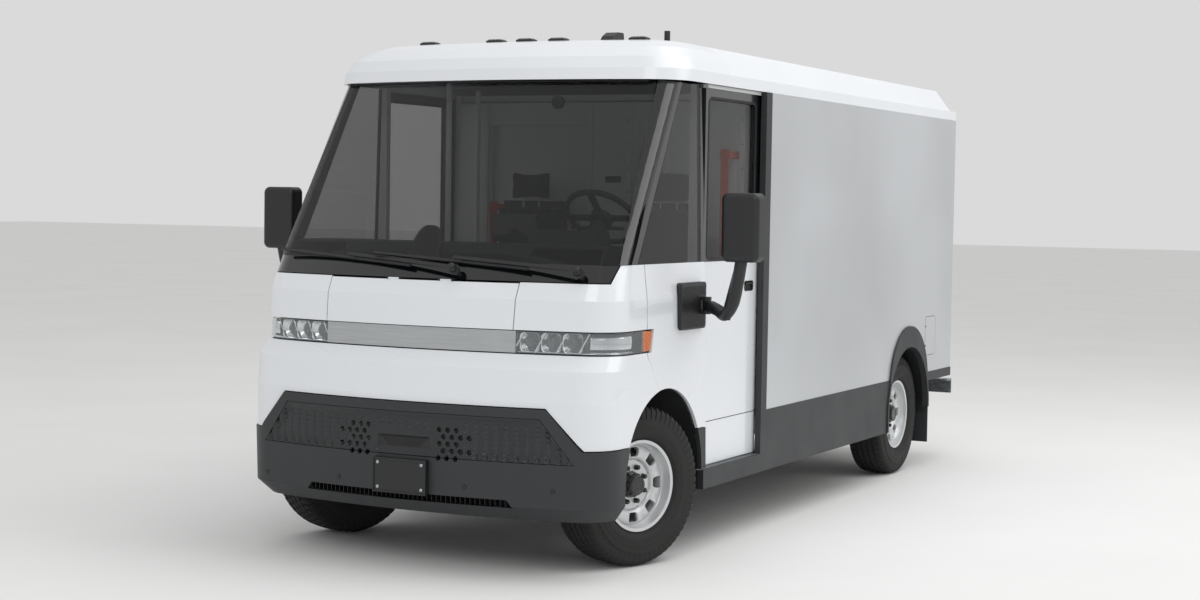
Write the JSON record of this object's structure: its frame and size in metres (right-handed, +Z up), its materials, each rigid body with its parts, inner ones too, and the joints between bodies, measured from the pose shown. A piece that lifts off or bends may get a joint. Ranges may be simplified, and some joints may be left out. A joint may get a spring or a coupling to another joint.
{
  "type": "delivery truck",
  "caption": "Walk-in electric mail delivery truck with sliding cab doors, rear cargo doors, steering front wheels and a boxy cargo body.",
  "frame": {"origin": "on the ground under the middle of the footprint", "axes": "+Z up; the truck faces -Y; its left side (the driver's) is +X"},
  "size_m": [2.968, 5.818, 2.72],
  "materials": {
    "white_paint": "gloss",
    "white_grp": "satin gel coat",
    "side_skin": "gloss",
    "charcoal_plastic": "fine grain",
    "black_plastic": "satin",
    "black_gloss": "gloss",
    "tinted_glass": "clear",
    "clear_lens": "clear",
    "bright_trim": "brushed",
    "amber_lens": "gloss",
    "red_lens": "gloss",
    "frame_steel": "satin black",
    "casting": "rough",
    "aluminium_case": "satin",
    "floor_ply": "anti-slip coat",
    "interior_grey": "fine grain",
    "interior_dark": "fine grain",
    "light_panel": "satin",
    "seat_fabric": "woven",
    "webbing": "woven",
    "tyre_rubber": "matt",
    "wheel_paint": "satin",
    "mirror_plate": "polished",
    "galvanised": "galvanised"
  },
  "bodies": {
    "chassis": {"front_bumper": "charcoal_plastic", "bumper_trim": "black_plastic", "front_fascia": "white_paint", "cab_panels": "white_paint", "windscreen_surround": "black_gloss", "cab_glass": "tinted_glass", "grille_bar": "bright_trim", "headlamps": "bright_trim", "headlamp_lenses": "clear_lens", "marker_lamps": "amber_lens", "roof_shell": "white_grp", "outer_fittings": "black_plastic", "ladder_frame": "frame_steel", "battery_pack": "aluminium_case", "axles_and_springs": "casting", "wheel_housings": "black_plastic", "cab_floor": "interior_dark", "cargo_floor": "floor_ply", "cargo_sides": "side_skin", "charge_pocket": "black_plastic", "side_skirts": "charcoal_plastic", "body_frame": "light_panel", "tail_lamps": "red_lens", "rear_bumper": "galvanised", "bulkhead": "light_panel", "nose_frame": "frame_steel", "dashboard": "interior_dark", "seat_frames": "interior_dark", "seat_pads": "seat_fabric", "seat_belts": "webbing"},
    "hood": {"hood_panel": "white_paint"},
    "left_cab_door": {"left_door": "white_paint", "left_door_glass": "tinted_glass"},
    "right_cab_door": {"right_door": "white_paint", "right_door_glass": "tinted_glass"},
    "bulkhead_door_leaf": {"bulkhead_door": "light_panel"},
    "rear_left_leaf": {"rear_left_door": "white_paint"},
    "rear_right_leaf": {"rear_right_door": "white_paint"},
    "rear_lock_handle": {"rear_handle": "black_plastic"},
    "charge_flap": {"charge_door": "white_paint"},
    "left_mirror": {"left_mirror_head": "black_plastic"},
    "right_mirror": {"right_mirror_head": "black_plastic"},
    "left_mirror_plate": {"left_mirror_glass": "mirror_plate"},
    "right_mirror_plate": {"right_mirror_glass": "mirror_plate"},
    "driver_wiper_arm": {"driver_wiper": "black_plastic"},
    "passenger_wiper_arm": {"passenger_wiper": "black_plastic"},
    "steering": {"steering_wheel": "interior_dark"},
    "seat_cushion": {"folding_seat": "seat_fabric"},
    "accelerator": {"accelerator_pedal": "black_plastic"},
    "brake": {"brake_pedal": "black_plastic"},
    "left_knuckle": {"front_left_knuckle": "casting"},
    "right_knuckle": {"front_right_knuckle": "casting"},
    "front_left_road_wheel": {"front_left_tyre": "tyre_rubber", "front_left_wheel": "wheel_paint"},
    "front_right_road_wheel": {"front_right_tyre": "tyre_rubber", "front_right_wheel": "wheel_paint"},
    "rear_left_road_wheel": {"rear_left_tyre": "tyre_rubber", "rear_left_wheel": "wheel_paint"},
    "rear_right_road_wheel": {"rear_right_tyre": "tyre_rubber", "rear_right_wheel": "wheel_paint"}
  },
  "joints": [
    {"name": "hood_hinge", "type": "hinge", "parent": "chassis", "child": "hood", "pos_m": [0, -2.739, 1.41], "axis": [-1, 0, 0], "range_deg": [0, 60]},
    {"name": "left_door_slide", "type": "slide", "parent": "chassis", "child": "left_cab_door", "axis": [0, 1, 0], "range_m": [0, 0.64]},
    {"name": "right_door_slide", "type": "slide", "parent": "chassis", "child": "right_cab_door", "axis": [0, 1, 0], "range_m": [0, 0.64]},
    {"name": "bulkhead_door_slide", "type": "slide", "parent": "chassis", "child": "bulkhead_door_leaf", "axis": [1, 0, 0], "range_m": [0, 0.58]},
    {"name": "rear_left_hinge", "type": "hinge", "parent": "chassis", "child": "rear_left_leaf", "pos_m": [0.966, 2.773, 1.5], "axis": [0, 0, -1], "range_deg": [0, 180]},
    {"name": "rear_right_hinge", "type": "hinge", "parent": "chassis", "child": "rear_right_leaf", "pos_m": [-0.966, 2.773, 1.5], "axis": [0, 0, 1], "range_deg": [0, 180]},
    {"name": "rear_handle_turn", "type": "hinge", "parent": "rear_right_leaf", "child": "rear_lock_handle", "pos_m": [-0.06, 2.763, 1.48], "axis": [0, 1, 0], "range_deg": [0, 90]},
    {"name": "charge_door_hinge", "type": "hinge", "parent": "chassis", "child": "charge_flap", "pos_m": [1.03, 2.137, 0.91], "axis": [0, 0, -1], "range_deg": [0, 100]},
    {"name": "left_mirror_fold", "type": "hinge", "parent": "chassis", "child": "left_mirror", "pos_m": [1.078, -1.701, 1.28], "axis": [0, 0, 1], "range_deg": [-20, 100]},
    {"name": "right_mirror_fold", "type": "hinge", "parent": "chassis", "child": "right_mirror", "pos_m": [-1.078, -1.701, 1.28], "axis": [0, 0, -1], "range_deg": [-20, 100]},
    {"name": "left_glass_tilt", "type": "hinge", "parent": "left_mirror", "child": "left_mirror_plate", "pos_m": [1.384, -1.945, 1.685], "axis": [0, 0, 1], "range_deg": [-5, 5]},
    {"name": "right_glass_tilt", "type": "hinge", "parent": "right_mirror", "child": "right_mirror_plate", "pos_m": [-1.384, -1.945, 1.685], "axis": [0, 0, -1], "range_deg": [-5, 5]},
    {"name": "driver_wiper_sweep", "type": "hinge", "parent": "chassis", "child": "driver_wiper_arm", "pos_m": [0.84226, -2.6792, 1.46943], "axis": [-0.0534, 0.845, -0.5321], "range_deg": [0, 60]},
    {"name": "passenger_wiper_sweep", "type": "hinge", "parent": "chassis", "child": "passenger_wiper_arm", "pos_m": [0.20656, -2.76296, 1.46938], "axis": [0.0821, 0.8433, -0.5311], "range_deg": [0, 60]},
    {"name": "left_steer", "type": "hinge", "parent": "chassis", "child": "left_knuckle", "pos_m": [0.765, -2.121, 0.4], "axis": [0, 0, 1], "range_deg": [-10, 50]},
    {"name": "right_steer", "type": "hinge", "parent": "chassis", "child": "right_knuckle", "pos_m": [-0.765, -2.121, 0.4], "axis": [0, 0, 1], "range_deg": [-10, 50]},
    {"name": "steering_turn", "type": "hinge", "parent": "chassis", "child": "steering", "pos_m": [0.56, -1.879, 1.722], "axis": [0, 0.6691, 0.7431], "range_deg": [-160, 800]},
    {"name": "front_left_spin", "type": "hinge", "parent": "left_knuckle", "child": "front_left_road_wheel", "pos_m": [0.85897, -2.1552, 0.4], "axis": [0.9397, -0.342, 0], "continuous": true},
    {"name": "front_right_spin", "type": "hinge", "parent": "right_knuckle", "child": "front_right_road_wheel", "pos_m": [-0.85897, -2.0868, 0.4], "axis": [0.9397, -0.342, 0], "continuous": true},
    {"name": "rear_left_spin", "type": "hinge", "parent": "chassis", "child": "rear_left_road_wheel", "pos_m": [0.865, 1.765, 0.4], "axis": [1, 0, 0], "continuous": true},
    {"name": "rear_right_spin", "type": "hinge", "parent": "chassis", "child": "rear_right_road_wheel", "pos_m": [-0.865, 1.765, 0.4], "axis": [1, 0, 0], "continuous": true},
    {"name": "seat_fold", "type": "hinge", "parent": "chassis", "child": "seat_cushion", "pos_m": [-0.33, -1.141, 1.084], "axis": [-1, 0, 0], "range_deg": [0, 80]},
    {"name": "accelerator_press", "type": "hinge", "parent": "chassis", "child": "accelerator", "pos_m": [0.31, -2.371, 1.08], "axis": [-1, 0, 0], "range_deg": [0, 18], "stiffness_Nm_per_rad": 12, "springref_deg": -6.88},
    {"name": "brake_press", "type": "hinge", "parent": "chassis", "child": "brake", "pos_m": [0.43, -2.371, 1.08], "axis": [-1, 0, 0], "range_deg": [0, 18], "stiffness_Nm_per_rad": 25, "springref_deg": -6.88}
  ],
  "couplings": [
    {"joint": "right_steer", "follows": "left_steer", "ratio": 1},
    {"joint": "steering_turn", "follows": "left_steer", "ratio": 16},
    {"joint": "passenger_wiper_sweep", "follows": "driver_wiper_sweep", "ratio": 1}
  ]
}
